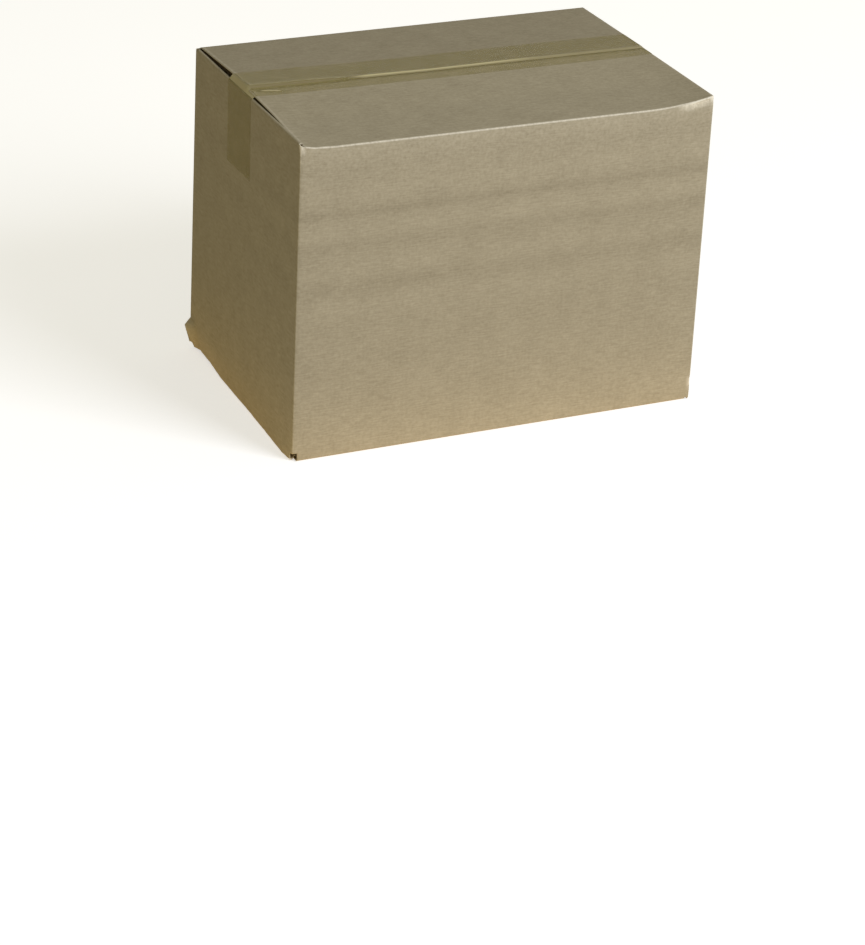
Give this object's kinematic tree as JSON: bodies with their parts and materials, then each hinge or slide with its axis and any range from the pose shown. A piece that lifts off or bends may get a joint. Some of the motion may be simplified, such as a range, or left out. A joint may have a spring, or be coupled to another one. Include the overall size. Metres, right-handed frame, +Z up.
{
  "type": "closed cardboard box",
  "caption": "Closed corrugated cardboard box: a slotted carton with overlapping flaps, taped shut along its top and bottom seams.",
  "frame": {"origin": "middle of the base, on the surface that the box stands on", "axes": "+X along the length, to the right as seen from the front; the front long wall faces -Y; +Z up"},
  "size_m": [0.3567, 0.23, 0.2678],
  "materials": {
    "corrugated_board": "matte brown kraft board",
    "packing_tape": "glossy translucent tan film"
  },
  "bodies": {
    "root": {"carton": "corrugated_board", "top_tape": "packing_tape", "bottom_tape": "packing_tape"}
  },
  "joints": []
}
